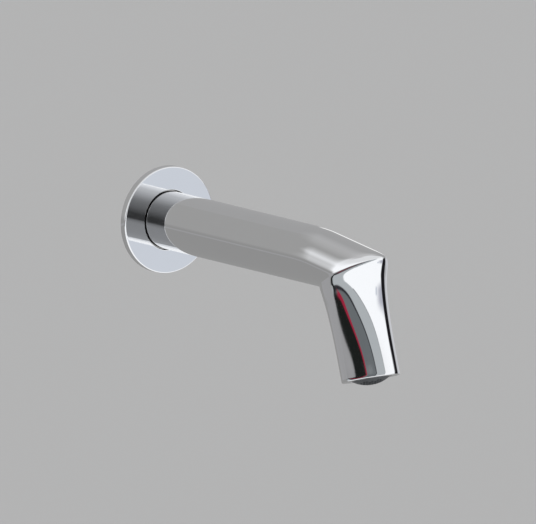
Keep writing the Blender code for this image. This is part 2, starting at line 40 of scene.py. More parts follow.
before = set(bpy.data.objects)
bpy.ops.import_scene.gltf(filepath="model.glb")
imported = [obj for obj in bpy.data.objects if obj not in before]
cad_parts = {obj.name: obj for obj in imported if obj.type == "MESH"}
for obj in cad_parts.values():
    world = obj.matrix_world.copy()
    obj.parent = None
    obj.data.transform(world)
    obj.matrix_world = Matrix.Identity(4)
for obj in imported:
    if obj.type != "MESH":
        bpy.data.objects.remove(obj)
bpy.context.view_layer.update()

WELD = 1e-7
CLEARANCE = 0.0003
SMOOTH_ANGLE = math.radians(28)
OVERCUT = 0.001
LINE_STEPS = 400
ROUND_STEPS = 128
SMALL_STEPS = 64
SCREW_STEPS = 48


def metres(name, description, default):
    """A length that a user can change."""
    return FloatProperty(
        name=name, description=description, default=default, precision=5, unit="LENGTH"
    )


def degrees(name, description, default):
    """An angle that a user can change, with its default in degrees."""
    return FloatProperty(
        name=name,
        description=description,
        default=math.radians(default),
        subtype="ANGLE",
        unit="ROTATION",
    )


def tint(name, description, default):
    """A base colour that a user can change."""
    return FloatVectorProperty(
        name=name, description=description, default=default, subtype="COLOR", min=0.0, max=1.0
    )


class CastingSizes(bpy.types.PropertyGroup):
    """Sizes of the spout's casting: the tube, the elbow and the nozzle."""

    tube_diameter: metres("Tube diameter", "Outside of the straight tube", 0.0325)
    reach: metres("Reach", "Wall to the middle of the outlet", 0.1983)
    wall: metres("Wall", "Thickness of the casting", 0.003)
    rear: metres("Rear gap", "The tube's rear end, forward of the wall", 0.0005)
    rear_chamfer: metres("Rear chamfer", "Chamfer round the rear end", 0.0005)
    bend_setback: metres("Bend setback", "Outlet's middle back to the inner corner", 0.0410)
    inner_fillet: metres("Inner fillet", "Radius in the elbow's inner corner", 0.0014)
    crown_ease: metres("Crown ease", "Stretch over which the top line tips down", 0.0175)
    crown_slope: degrees("Crown slope", "Tilt of the top line at the elbow", 7.1)
    shoulder_sharpness: FloatProperty(
        name="Shoulder sharpness",
        description="How tightly the top line turns into the front line",
        default=16.0,
    )
    neck_depth: metres("Neck depth", "Front to back through the inner corner", 0.0479)
    neck_lean: degrees("Neck lean", "Tilt of the section through the neck", 18.0)
    outlet_drop: metres("Outlet drop", "Tube axis down to the outlet's middle", 0.0620)
    tip_diameter: metres("Tip diameter", "Outside of the nozzle's round tip", 0.0328)
    tip_lean: degrees("Tip lean", "Tilt of the outlet's axis", 16.0)
    tip_rounding: metres("Tip rounding", "Radius round the tip's edge", 0.00042)
    back_lean_top: degrees("Back lean, top", "Nozzle's back line at the neck", 42.0)
    back_lean_tip: degrees("Back lean, tip", "Nozzle's back line at the tip", 18.0)
    front_lean_top: degrees("Front lean, top", "Nozzle's front line at the neck", -9.4)
    front_lean_tip: degrees("Front lean, tip", "Nozzle's front line at the tip", 18.5)
    slow_run: metres("Slowing run", "Stretch over which the sections start to fan out", 0.014)
    gather_run: metres("Gathering run", "Stretch over which the fan draws level again", 0.026)
    hover: FloatProperty(
        name="Hover",
        description="How nearly the sections' feet stand still at the inner corner",
        default=0.985,
    )
    row_step: metres("Row step", "Longest step from one section to the next", 0.0013)
    row_turn: degrees("Row turn", "Largest turn from one section to the next", 2.0)
    sides: IntProperty(name="Sides", description="Points round each section", default=128)


class FlangeSizes(bpy.types.PropertyGroup):
    """Sizes of the wall flange and of the foam ring in its back."""

    diameter: metres("Diameter", "Outside of the flange", 0.0600)
    depth: metres("Depth", "How far the flange stands off the wall", 0.0045)
    edge_radius: metres("Edge radius", "Rounding of the front edge", 0.0006)
    plate: metres("Plate", "Thickness of the front plate", 0.0015)
    rim: metres("Rim", "Radial thickness of the outer rim", 0.0018)
    hub: metres("Hub", "Radial thickness of the hub round the tube", 0.0036)
    hub_rear: metres("Hub rear", "The hub stops short of the wall by this", 0.0006)
    gap: metres("Gap", "Open ring round the tube", 0.0007)
    ring_cord: metres("Ring cord", "Thickness of the ring round the tube", 0.0019)


class ConnectionSizes(bpy.types.PropertyGroup):
    """Sizes of the brass nipple, its seals and the screw that locks the tube on it."""

    thread_diameter: metres("Thread diameter", "Outside of the wall thread", 0.0209)
    thread_length: metres("Thread length", "How far the thread goes into the wall", 0.0140)
    thread_pitch: metres("Thread pitch", "Advance of the thread in one turn", 0.001814)
    spigot_diameter: metres("Spigot diameter", "Outside of the plain end", 0.0180)
    spigot_length: metres("Spigot length", "How far the plain end stands forward", 0.0275)
    socket_gap: metres("Socket gap", "Open space in front of the plain end", 0.003)
    bore: metres("Bore", "Waterway through the nipple", 0.0090)
    key_flats: metres("Key flats", "Hexagon key across its flats", 0.0100)
    key_depth: metres("Key depth", "Depth of the hexagon socket", 0.0080)
    seal_cord: metres("Seal cord", "Thickness of the spigot's rings", 0.0018)
    rear_seal: metres("Rear seal", "First ring, forward of the wall", 0.0182)
    seal_spacing: metres("Seal spacing", "First ring to the second", 0.0046)
    screw_diameter: metres("Screw diameter", "Outside of the grub screw", 0.0058)
    screw_forward: metres("Screw place", "Grub screw, forward of the wall", 0.0120)
    screw_recess: metres("Screw recess", "Screw's face, inside the tube's surface", 0.0006)
    screw_key: metres("Screw key", "Screw's hexagon across its flats", 0.0030)
    lock_depth: metres("Lock depth", "Groove in the spigot for the screw's point", 0.001)


class AeratorSizes(bpy.types.PropertyGroup):
    """Sizes of the aerator's sleeve and of the honeycomb dome that the stream leaves through."""

    bore: metres("Bore", "Bore in the nozzle that holds the aerator", 0.0240)
    bore_depth: metres("Bore depth", "Depth of that bore", 0.0112)
    seat_radius: metres("Seat radius", "Waterway at the aerator's seat", 0.0100)
    sleeve_wall: metres("Sleeve wall", "Wall of the threaded sleeve", 0.0007)
    sleeve_length: metres("Sleeve length", "Length of the threaded sleeve", 0.0077)
    notch_width: metres("Notch width", "Key notches in the sleeve", 0.0024)
    notch_depth: metres("Notch depth", "How deep the key notches are", 0.0010)
    dome_rise: metres("Dome rise", "How far the dome stands out of the tip", 0.00325)
    dome_shell: metres("Dome shell", "Thickness of the dome", 0.0012)
    dome_rim: metres("Dome rim", "Height of the dome's rim inside the tip", 0.0018)
    dome_edge: metres("Dome edge", "Radial thickness of the dome's rim", 0.0021)
    cell_pitch: metres("Cell pitch", "Middle of one cell to the next", 0.00175)
    cell_web: metres("Cell web", "Wall between two cells", 0.00035)


class FinishColours(bpy.types.PropertyGroup):
    """Base colours of the materials."""

    chrome: tint("Chrome", "Polished plating", (0.868, 0.870, 0.874))
    brass: tint("Brass", "Turned brass", (0.78, 0.56, 0.25))
    steel: tint("Steel", "Bright zinc on steel", (0.58, 0.59, 0.60))
    rubber: tint("Rubber", "Black sealing rubber", (0.018, 0.018, 0.019))
    foam: tint("Foam", "Grey closed-cell foam", (0.22, 0.23, 0.24))
    dark_plastic: tint("Dark plastic", "Moulded dark grey plastic", (0.085, 0.092, 0.100))
    white_plastic: tint("White plastic", "Moulded white plastic", (0.78, 0.78, 0.76))
    floor: tint("Floor", "Pale floor", (0.45, 0.45, 0.45))
    backdrop: tint("Backdrop", "Pale grey past the floor", (0.46, 0.47, 0.48))


class StudioSettings(bpy.types.PropertyGroup):
    """Where the camera stands and how bright the studio is."""

    azimuth: degrees("Azimuth", "Camera's turn round the spout", -35.3)
    elevation: degrees("Elevation", "Camera's height over the spout", 9.95)
    frame_width: metres("Frame width", "What the picture spans", 0.29778)
    aim_right: metres("Aim right", "Picture's middle, right of the flange", 0.0548)
    aim_down: metres("Aim down", "Picture's middle, below the flange", 0.0234)
    distance: metres("Distance", "Camera to the picture's middle", 0.60)
    floor_drop: metres("Floor drop", "Floor below the spout's middle line", 0.25)
    floor_radius: metres("Floor radius", "How far the floor reaches", 3.0)


SETTINGS = {
    "spout_casting": CastingSizes,
    "spout_flange": FlangeSizes,
    "spout_connection": ConnectionSizes,
    "spout_aerator": AeratorSizes,
    "spout_colours": FinishColours,
    "spout_studio": StudioSettings,
}


def only(obj):
    """Leaves this object selected and active, and no other."""
    bpy.ops.object.select_all(action="DESELECT")
    obj.select_set(True)
    bpy.context.view_layer.objects.active = obj


def settle(obj, placement):
    """Turns and moves a shape to its place, and writes the place into its mesh."""
    only(obj)
    obj.matrix_world = placement @ obj.matrix_world
    bpy.ops.object.transform_apply()


def combine(obj, other, operation):
    """Cuts, joins or intersects two closed shapes; the second is used up."""
    only(obj)
    bpy.ops.object.modifier_add(type="BOOLEAN")
    boolean = obj.modifiers[-1]
    boolean.operation = operation
    boolean.solver = "EXACT"
    boolean.object = other
    bpy.ops.object.modifier_apply(modifier=boolean.name)
    bpy.data.objects.remove(other, do_unlink=True)
    return obj


def drawn(outline):
    """An edge line through (radius, height) points, extruded from one vertex; it stays in edit mode."""
    (radius, height) = outline[0]
    bpy.ops.object.select_all(action="DESELECT")
    bpy.ops.mesh.primitive_circle_add(vertices=3, radius=0.001, location=(radius, 0, height))
    bpy.ops.object.transform_apply()
    bpy.ops.object.mode_set(mode="EDIT")
    bpy.ops.mesh.merge(type="CENTER")
    for (radius, height), (next_radius, next_height) in zip(outline, outline[1:]):
        step = (next_radius - radius, 0, next_height - height)
        bpy.ops.mesh.extrude_region_move(TRANSFORM_OT_translate={"value": step})
    bpy.ops.mesh.select_all(action="SELECT")
    return bpy.context.object


def weld_and_close():
    """Merges what lies together, turns the faces outward and leaves edit mode."""
    bpy.ops.mesh.select_all(action="SELECT")
    bpy.ops.mesh.remove_doubles(threshold=WELD)
    bpy.ops.mesh.normals_make_consistent(inside=False)
    bpy.ops.object.mode_set(mode="OBJECT")


def turned(outline, steps, placement, ring=True):
    """Spins an outline once round Z; a ring's outline closes, any other starts and ends on the axis."""
    obj = drawn(outline + outline[:1] if ring else outline)
    bpy.ops.mesh.spin(steps=steps, angle=math.tau, center=(0, 0, 0), axis=(0, 0, 1))
    weld_and_close()
    settle(obj, placement)
    return obj


def prism(sides, across_corners, bottom, top, placement, middle=(0, 0), turn=0.0):
    """A straight cutter along Z."""
    bpy.ops.object.select_all(action="DESELECT")
    bpy.ops.mesh.primitive_cylinder_add(
        vertices=sides,
        radius=across_corners / 2,
        depth=top - bottom,
        location=(*middle, (top + bottom) / 2),
        rotation=(0, 0, turn),
    )
    obj = bpy.context.object
    settle(obj, placement)
    return obj


def hexagon_corners(flats):
    """A hexagon's size across its corners."""
    return flats / math.cos(math.pi / 6)


def threaded(major, minor, pitch, bottom, top, steps):
    """A rod along Z with a helical thread, cut flat at both ends."""
    tooth = ((minor, 0.0), (minor, 0.09), (major, 0.41), (major, 0.59), (minor, 0.91), (minor, 1.0))
    seam = 1e-6
    spare_turns = 2
    start = bottom - spare_turns * pitch
    obj = drawn([(radius, start + share * pitch) for radius, share in tooth])
    bpy.ops.object.mode_set(mode="OBJECT")
    bpy.ops.object.modifier_add(type="SCREW")
    screw = obj.modifiers[-1]
    screw.axis = "Z"
    screw.angle = math.tau
    screw.screw_offset = pitch
    screw.iterations = math.ceil((top - bottom) / pitch) + 2 * spare_turns
    screw.steps = steps
    screw.render_steps = steps
    bpy.ops.object.modifier_apply(modifier=screw.name)
    bpy.ops.object.mode_set(mode="EDIT")
    bpy.ops.mesh.select_all(action="SELECT")
    bpy.ops.mesh.remove_doubles(threshold=seam)
    for height, keep_above in ((bottom, True), (top, False)):
        bpy.ops.mesh.select_all(action="SELECT")
        bpy.ops.mesh.bisect(
            plane_co=(0, 0, height),
            plane_no=(0, 0, 1),
            use_fill=True,
            clear_inner=keep_above,
            clear_outer=not keep_above,
        )
    weld_and_close()
    return obj


def arc(centre, radius, start, end, steps):
    """Points of an arc in the (radius, height) plane, with its angles in degrees."""
    points = []
    for i in range(steps + 1):
        angle = math.radians(start + (end - start) * i / steps)
        points.append((centre[0] + radius * math.cos(angle), centre[1] + radius * math.sin(angle)))
    return points


def cord_ring(radius, height, cord, placement, steps=96):
    """A moulded ring of round cord, with the fine flash line of its mould outside and inside."""
    flash = cord * 0.012
    middle = 7
    outline = []
    for side, start in ((1, 86), (-1, -94)):
        half = arc((radius, height), cord / 2, start, start - 172, 2 * middle)
        half[middle] = (radius + side * (cord / 2 + flash), height)
        outline += half
    return turned(outline, steps, placement)


def place_piece(obj, name, material, slot, *nodes):
    """Names and shades a finished shape, gives it its material, and puts it in place of its solid."""
    obj.name = name
    obj.data.name = name
    obj.data.materials.clear()
    obj.data.materials.append(finish(material))
    only(obj)
    bpy.ops.object.shade_smooth_by_angle(angle=SMOOTH_ANGLE)
    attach(obj, "root")
    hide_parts(*nodes)
    return obj


def forward_frame(forward=0.0):
    """Local Z runs forward along the tube's axis, from a place that far from the wall."""
    return Matrix.Translation((0, -forward, 0)) @ Matrix.Rotation(math.pi / 2, 4, "X")


def outlet_frame():
    """Local Z runs from the middle of the outlet's face back up into the nozzle."""
    sizes = bpy.context.scene.spout_casting
    place = Matrix.Translation((0, -sizes.reach, -sizes.outlet_drop))
    return place @ Matrix.Rotation(-sizes.tip_lean, 4, "X")


def lean_direction(lean):
    """(forward, up) of a line that runs down and leans forward."""
    return Vector((math.sin(lean), -math.cos(lean)))


def turn_direction(turn):
    """(forward, up) of a section's long axis after the section has turned about the inner corner."""
    return Vector((math.sin(turn), math.cos(turn)))


def hermite(start, start_direction, end, end_direction, share):
    """A smooth curve between two points with a direction at each."""
    span = (end - start).length
    return (
        (2 * share**3 - 3 * share**2 + 1) * start
        + (share**3 - 2 * share**2 + share) * span * start_direction
        + (3 * share**2 - 2 * share**3) * end
        + (share**3 - share**2) * span * end_direction
    )


class Line:
    """A curve through close points, asked for by the distance along it."""

    def __init__(self, points):
        self.points = points
        self.distances = [0.0]
        for point, following in zip(points, points[1:]):
            self.distances.append(self.distances[-1] + (following - point).length)

    @property
    def length(self):
        return self.distances[-1]

    def at(self, distance):
        i = bisect.bisect_right(self.distances, distance, 1, len(self.points) - 1)
        start = self.distances[i - 1]
        share = (distance - start) / (self.distances[i] - start)
        return self.points[i - 1].lerp(self.points[i], share)

    def stations(self, first, last, step, turn):
        """Distances that lie closer together where the curve turns."""
        found = [first]
        travelled = 0.0
        for i in range(1, len(self.points) - 1):
            if first < self.distances[i] < last:
                before = self.points[i] - self.points[i - 1]
                after = self.points[i + 1] - self.points[i]
                travelled += before.length / step + before.angle(after) / turn
                if travelled >= 1.0:
                    found.append(self.distances[i])
                    travelled -= 1.0
        return found + [last]


def slowed(distance, start, run):
    """How far a point falls behind that slows down smoothly over a run and then stands still."""
    share = (distance - start) / run
    if share <= 0.0:
        return 0.0
    if share < 1.0:
        return run * (share**3 - share**4 / 2)
    return run * (share - 0.5)


class CastingShape:
    """The casting's cross-sections: ovals between a back line and a front line."""

    def __init__(self, sizes):
        self.sizes = sizes
        self.radius = sizes.tube_diameter / 2
        self.corner = Vector((sizes.reach - sizes.bend_setback, -self.radius - sizes.inner_fillet))
        self.neck_turn = math.pi / 2 - sizes.neck_lean
        self.outlet = Vector((sizes.reach, -sizes.outlet_drop))
        self.tip_radius = sizes.tip_diameter / 2
        (back, front) = self.lines(LINE_STEPS)
        self.back = Line(back)
        self.front = Line(front)
        self.neck = self.front.distances[2 * LINE_STEPS]
        self.corner_start = self.back.distances[LINE_STEPS] - sizes.slow_run / 2
        self.corner_end = self.corner_start + (sizes.slow_run - sizes.gather_run) / 2
        self.corner_end += (self.front.length - self.back.length) / sizes.hover

    def crown_height(self, forward):
        """The top line: level, then tipping down over the stretch before the elbow."""
        ease = self.sizes.crown_ease
        past = max(0.0, forward - (self.corner.x - ease))
        return self.radius - math.tan(self.sizes.crown_slope) * past**2 / (2 * ease)

    def outer_reach(self, turn):
        """From the inner corner out to the elbow's outside, where the top line meets the front line."""
        sizes = self.sizes
        rise = self.crown_height(self.corner.x) - self.corner.y
        to_crown = rise / (math.cos(turn) + math.tan(sizes.crown_slope) * math.sin(turn))
        facing = math.sin(turn + sizes.front_lean_top)
        if facing <= 0:
            return to_crown
        across = (sizes.inner_fillet + sizes.neck_depth) * math.cos(
            sizes.neck_lean - sizes.front_lean_top
        )
        power = sizes.shoulder_sharpness
        return (to_crown**-power + (across / facing) ** -power) ** (-1 / power)

    def inner_reach(self, turn):
        """From the inner corner out to its fillet, which runs on as the nozzle's back."""
        past = max(0.0, turn - (math.pi / 2 - self.sizes.back_lean_top))
        return self.sizes.inner_fillet / math.cos(past)

    def lines(self, steps):
        """Points of the back and the front line: along the tube, round the elbow and down the nozzle."""
        sizes = self.sizes
        shares = [i / steps for i in range(steps + 1)]
        back = []
        front = []
        for share in shares:
            forward = sizes.rear + (self.corner.x - sizes.rear) * share
            back.append(Vector((forward, -self.radius)))
            front.append(Vector((forward, self.crown_height(forward))))
        for share in shares[1:]:
            turn = self.neck_turn * share
            back.append(self.corner + turn_direction(turn) * self.inner_reach(turn))
            front.append(self.corner + turn_direction(turn) * self.outer_reach(turn))
        across = turn_direction(math.pi / 2 - sizes.tip_lean) * self.tip_radius
        ends = (
            (back, self.outlet - across, sizes.back_lean_top, sizes.back_lean_tip),
            (front, self.outlet + across, sizes.front_lean_top, sizes.front_lean_tip),
        )
        for line, end, lean_top, lean_tip in ends:
            start = line[-1]
            for share in shares[1:]:
                place = hermite(start, lean_direction(lean_top), end, lean_direction(lean_tip), share)
                line.append(place)
        return back, front

    def oval(self, back, front, half_width, inset):
        """A section's middle, its half length and its half width."""
        half = (front - back) / 2
        half -= half.normalized() * inset
        return (back + front) / 2, half, half_width - inset

    def tube(self, forward, inset=0.0):
        back = Vector((forward, -self.radius))
        front = Vector((forward, self.radius))
        return self.oval(back, front, self.radius, inset)

    def section(self, distance, inset=0.0):
        """The section that far along the front line; its other end all but waits at the inner corner."""
        sizes = self.sizes
        behind = slowed(distance, self.corner_start, sizes.slow_run)
        behind -= slowed(distance, self.corner_end, sizes.gather_run)
        back = self.back.at(distance - sizes.hover * behind)
        left = 1 - self.nozzle_share(distance)
        half_width = self.tip_radius + (self.radius - self.tip_radius) * left**2
        return self.oval(back, self.front.at(distance), half_width, inset)

    def nozzle_share(self, distance):
        """0 as far as the neck, rising to 1 at the tip."""
        return max(0.0, (distance - self.neck) / (self.front.length - self.neck))

    def outlet_circle(self, radius, out):
        """A round section about the outlet's axis, that far out of its face."""
        across = turn_direction(math.pi / 2 - self.sizes.tip_lean) * radius
        middle = self.outlet + lean_direction(self.sizes.tip_lean) * out
        return self.oval(middle - across, middle + across, radius, 0.0)

    def outside(self):
        """From the rear end to the tip's rounded edge."""
        sizes = self.sizes
        rounding = sizes.tip_rounding
        chamfer = sizes.rear_chamfer
        rear_edge = 0.0002
        straight_rows = 12
        edge_rows = 5
        first = min(self.corner_start, self.corner.x - sizes.rear - sizes.crown_ease)
        last = self.front.length - rounding
        ovals = [self.tube(sizes.rear, chamfer), self.tube(sizes.rear + rear_edge, rear_edge)]
        for i in range(straight_rows):
            forward = (first - chamfer) * i / straight_rows
            ovals.append(self.tube(sizes.rear + chamfer + forward))
        for distance in self.front.stations(first, last, sizes.row_step, sizes.row_turn):
            ovals.append(self.section(distance))
        for i in range(1, edge_rows + 1):
            angle = math.pi / 2 * i / edge_rows
            radius = self.tip_radius - rounding * (1 - math.cos(angle))
            ovals.append(self.outlet_circle(radius, -rounding * (1 - math.sin(angle))))
        return ovals

    def inside(self, aerator, socket_radius, socket_end):
        """From the tip's face up the aerator's bore and the waterway, back to the socket's mouth."""
        sizes = self.sizes
        bore = aerator.bore / 2
        chamfer = 0.0003
        mouth = 0.0008
        seat_share = 0.66
        coarser = 4
        # Flat steps are dished by this, because bridging twists between loops in one plane.
        dish = 0.00005
        ovals = [
            self.outlet_circle(bore + chamfer, 0.0),
            self.outlet_circle(bore, -chamfer),
            self.outlet_circle(bore, -aerator.bore_depth),
            self.outlet_circle(aerator.seat_radius, -aerator.bore_depth - dish),
        ]
        seat_inset = self.tip_radius - aerator.seat_radius
        seat = self.neck + seat_share * (self.front.length - self.neck)
        step = coarser * sizes.row_step
        turn = coarser * sizes.row_turn
        for distance in reversed(self.front.stations(self.corner_start, seat, step, turn)):
            inset = sizes.wall + (seat_inset - sizes.wall) * self.nozzle_share(distance)
            ovals.append(self.section(distance, inset))
        socket_inset = self.radius - socket_radius
        return ovals + [
            self.tube(socket_end + dish, sizes.wall),
            self.tube(socket_end, socket_inset),
            self.tube(sizes.rear + mouth, socket_inset),
            self.tube(sizes.rear + dish, socket_inset - mouth),
        ]


def lofted(ovals, sides):
    """Adds an oval edge loop for each section and bridges each to the one before, and last to first."""
    for i, (middle, half, half_width) in enumerate(ovals):
        bpy.ops.mesh.primitive_circle_add(
            vertices=sides,
            radius=half.length,
            location=(0, -middle.x, middle.y),
            rotation=(math.atan2(half.y, -half.x), 0, 0),
        )
        if i == 0:
            bpy.ops.object.transform_apply()
            bpy.ops.object.mode_set(mode="EDIT")
        narrowing = (half_width / half.length, 1, 1)
        bpy.ops.transform.resize(value=narrowing, center_override=(0, 0, 0))
        if i > 0:
            bridge_loops(i - 1, i, sides)
    bridge_loops(0, len(ovals) - 1, sides)
    weld_and_close()
    return bpy.context.object


def bridge_loops(first, second, sides):
    """Joins two of the loops with a band of faces."""
    bpy.ops.mesh.select_all(action="DESELECT")
    work = bmesh.from_edit_mesh(bpy.context.object.data)
    work.verts.ensure_lookup_table()
    for start in (first * sides, second * sides):
        loop = set(work.verts[start : start + sides])
        for vertex in loop:
            for edge in vertex.link_edges:
                if edge.verts[0] in loop and edge.verts[1] in loop:
                    edge.select_set(True)
    bmesh.update_edit_mesh(bpy.context.object.data)
    bpy.ops.mesh.bridge_edge_loops()


class Signal:
    """A node's output socket that Python arithmetic can use: each operation adds a Math node."""

    def __init__(self, tree, socket):
        self.tree = tree
        self.socket = socket

    def math(self, operation, *values):
        return self.tree.add("ShaderNodeMath", {"operation": operation}, dict(enumerate(values)))

    def __add__(self, other):
        return self.math("ADD", self, other)

    def __sub__(self, other):
        return self.math("SUBTRACT", self, other)

    def __rsub__(self, other):
        return self.math("SUBTRACT", other, self)

    def __mul__(self, other):
        return self.math("MULTIPLY", self, other)

    __radd__ = __add__
    __rmul__ = __mul__


class NodeTree:
    """Adds nodes to a material's or world's tree."""

    def __init__(self, owner):
        owner.use_nodes = True
        self.nodes = owner.node_tree.nodes
        self.links = owner.node_tree.links
        self.nodes.clear()

    def add(self, kind, settings=None, values=None, output=0):
        """Adds a node, sets its settings and then its sockets, and gives back one of its outputs."""
        node = self.nodes.new(kind)
        for name, setting in (settings or {}).items():
            if name == "stops":
                self.set_stops(node.color_ramp, setting)
            else:
                setattr(node, name, setting)
        for key, value in (values or {}).items():
            socket = node.inputs[key]
            if isinstance(value, Signal):
                self.links.new(value.socket, socket)
            else:
                socket.default_value = value
        return Signal(self, node.outputs[output]) if node.outputs else node

    def set_stops(self, ramp, stops):
        while len(ramp.elements) < len(stops):
            ramp.elements.new(0.5)
        for element, (position, colour) in zip(ramp.elements, stops):
            element.position = position
            element.color = (*colour, 1.0)

    def object_point(self, scale=(1.0, 1.0, 1.0)):
        """The surface's point in metres, stretched to run a pattern along or across a piece."""
        point = self.add("ShaderNodeTexCoord", output="Object")
        return self.add("ShaderNodeMapping", values={"Vector": point, "Scale": scale})

    def axis(self, point, name):
        return self.add("ShaderNodeSeparateXYZ", values={0: point}, output=name)

    def noise(self, scale, detail, roughness=0.5, stretch=(1.0, 1.0, 1.0)):
        values = {"Vector": self.object_point(stretch), "Scale": scale}
        values.update({"Detail": detail, "Roughness": roughness})
        return self.add("ShaderNodeTexNoise", values=values, output="Fac")

    def fade(self, value, low, high):
        """0 below one value and 1 above the other, with a soft step between them."""
        return self.add(
            "ShaderNodeMapRange",
            {"interpolation_type": "SMOOTHSTEP"},
            {"Value": value, "From Min": low, "From Max": high},
        )

    def below(self, value, low, high):
        """1 below one value and 0 above the other."""
        return 1 - self.fade(value, low, high)

    def band(self, value, low, high, softness):
        """1 between two values, with soft ends."""
        half = softness / 2
        return self.fade(value, low - half, low + half) * self.below(value, high - half, high + half)

    def mixed(self, factor, first, second):
        """One colour into another."""
        return self.add(
            "ShaderNodeMix",
            {"data_type": "RGBA"},
            {"Factor": factor, 6: first, 7: second},
            output=2,
        )

    def bump(self, height, distance, strength):
        values = {"Height": height, "Distance": distance, "Strength": strength}
        return self.add("ShaderNodeBump", values=values, output="Normal")

    def blended(self, factor, first, second):
        """One shader into another."""
        return self.add("ShaderNodeMixShader", values={0: factor, 1: first, 2: second})

    def surface(self, values):
        shader = self.add("ShaderNodeBsdfPrincipled", values=values)
        self.add("ShaderNodeOutputMaterial", values={"Surface": shader})


def shade(colour, factor):
    """A colour made lighter or darker, as a socket's four numbers."""
    return (*(min(1.0, channel * factor) for channel in colour), 1.0)


class Finish(NamedTuple):
    """A surface: patches vary its tone and gloss, marks its gloss, and relief its height."""

    colour: str
    metallic: float
    tones: tuple
    roughness: tuple
    patches: tuple
    marks: tuple
    relief: tuple
    bump: tuple


def plastic(colour, roughness):
    """Moulded plastic with a fine spark-eroded grain and slight flow marks."""
    return Finish(
        colour=colour,
        metallic=0.0,
        tones=(0.88, 1.12),
        roughness=(roughness, 0.05, 0.10),
        patches=(150.0, 3.0, 0.55),
        marks=(3600.0, 2.0),
        relief=(3600.0, 2.0),
        bump=(0.00001, 0.5),
    )


FINISHES = {
    # All but mirror smooth, with the faint waviness of a buffed casting.
    "polished_chrome": Finish(
        colour="chrome",
        metallic=1.0,
        tones=(0.985, 1.01),
        roughness=(0.022, 0.012, 0.012),
        patches=(60.0, 3.0),
        marks=(900.0, 3.0, 0.6, (1.0, 0.12, 1.0)),
        relief=(26.0, 0.0),
        bump=(0.00004, 1.0),
    ),
    # Fine tool marks round the axis and a little tarnish.
    "turned_brass": Finish(
        colour="brass",
        metallic=1.0,
        tones=(0.72, 1.08),
        roughness=(0.20, 0.16, 0.06),
        patches=(190.0, 4.0, 0.6),
        marks=(5200.0, 2.0, 0.5, (0.4, 1.0, 0.4)),
        relief=(5200.0, 2.0, 0.5, (0.4, 1.0, 0.4)),
        bump=(0.00001, 0.6),
    ),
    # A mottled, slightly worn face.
    "zinc_steel": Finish(
        colour="steel",
        metallic=1.0,
        tones=(0.6, 1.05),
        roughness=(0.26, 0.2, 0.0),
        patches=(900.0, 4.0, 0.6),
        marks=(900.0, 4.0, 0.6),
        relief=(900.0, 4.0, 0.6),
        bump=(0.00001, 0.5),
    ),
    # Matt, with a fine grain and dusty patches.
    "sealing_rubber": Finish(
        colour="rubber",
        metallic=0.0,
        tones=(0.7, 1.9),
        roughness=(0.48, 0.22, 0.0),
        patches=(240.0, 4.0, 0.65),
        marks=(4200.0, 3.0, 0.6),
        relief=(4200.0, 3.0, 0.6),
        bump=(0.00002, 0.7),
    ),
    "dark_moulded_plastic": plastic("dark_plastic", 0.34),
    "white_moulded_plastic": plastic("white_plastic", 0.38),
}


def finish(name):
    """The material of that name, made from its entry when it is first asked for."""
    made = bpy.data.materials.get(name)
    if made:
        return made
    made = bpy.data.materials.new(name)
    tree = NodeTree(made)
    look = FINISHES[name]
    colour = getattr(bpy.context.scene.spout_colours, look.colour)
    (darker, lighter) = look.tones
    (plain, patchy, marked) = look.roughness
    patches = tree.noise(*look.patches)
    tree.surface(
        {
            "Base Color": tree.mixed(patches, shade(colour, darker), shade(colour, lighter)),
            "Metallic": look.metallic,
            "Roughness": plain + patches * patchy + tree.noise(*look.marks) * marked,
            "Normal": tree.bump(tree.noise(*look.relief), *look.bump),
        }
    )
    return made


def make_foam(colour):
    """Closed-cell foam: small round cells, with painted shade darkening the low pits between them."""
    tree = NodeTree(bpy.data.materials.new("cell_foam"))
    values = {"Vector": tree.object_point(), "Scale": 2600.0}
    cells = tree.add("ShaderNodeTexVoronoi", {"feature": "F1"}, values, output="Distance")
    tone = tree.noise(300.0, 3.0)
    lit = tree.mixed(tone, shade(colour, 0.85), shade(colour, 1.2))
    tree.surface(
        {
            # Painted shade: the low pits between the cells, where the bump sinks, are mixed to 0.45 of
            # the colour.
            "Base Color": tree.mixed(tree.fade(cells, 0.35, 0.75), lit, shade(colour, 0.45)),
            "Roughness": 0.85 + tone * 0.1,
            "Normal": tree.bump(1 - cells, 0.00012, 0.8),
        }
    )


class SPOUT_OT_add_casting(bpy.types.Operator):
    """Loft the tube, elbow and nozzle as one hollow casting and drill the screw's hole"""

    bl_idname = "wall_spout.add_casting"
    bl_label = "Add casting"

    def execute(self, context):
        scene = context.scene
        sizes = scene.spout_casting
        connection = scene.spout_connection
        shape = CastingShape(sizes)
        socket_radius = connection.spigot_diameter / 2 + CLEARANCE
        socket_end = connection.spigot_length + connection.socket_gap
        ovals = shape.outside() + shape.inside(scene.spout_aerator, socket_radius, socket_end)
        bpy.ops.object.select_all(action="DESELECT")
        casting = lofted(ovals, sizes.sides)
        place = Matrix.Translation((0, -connection.screw_forward, 0))
        hole = connection.screw_diameter + 2 * CLEARANCE
        cutter = prism(SCREW_STEPS, hole, -shape.radius - OVERCUT, -OVERCUT, place)
        combine(casting, cutter, "DIFFERENCE")
        place_piece(casting, "chrome_spout", "polished_chrome", "chrome_plate", "spout_body")
        return {"FINISHED"}


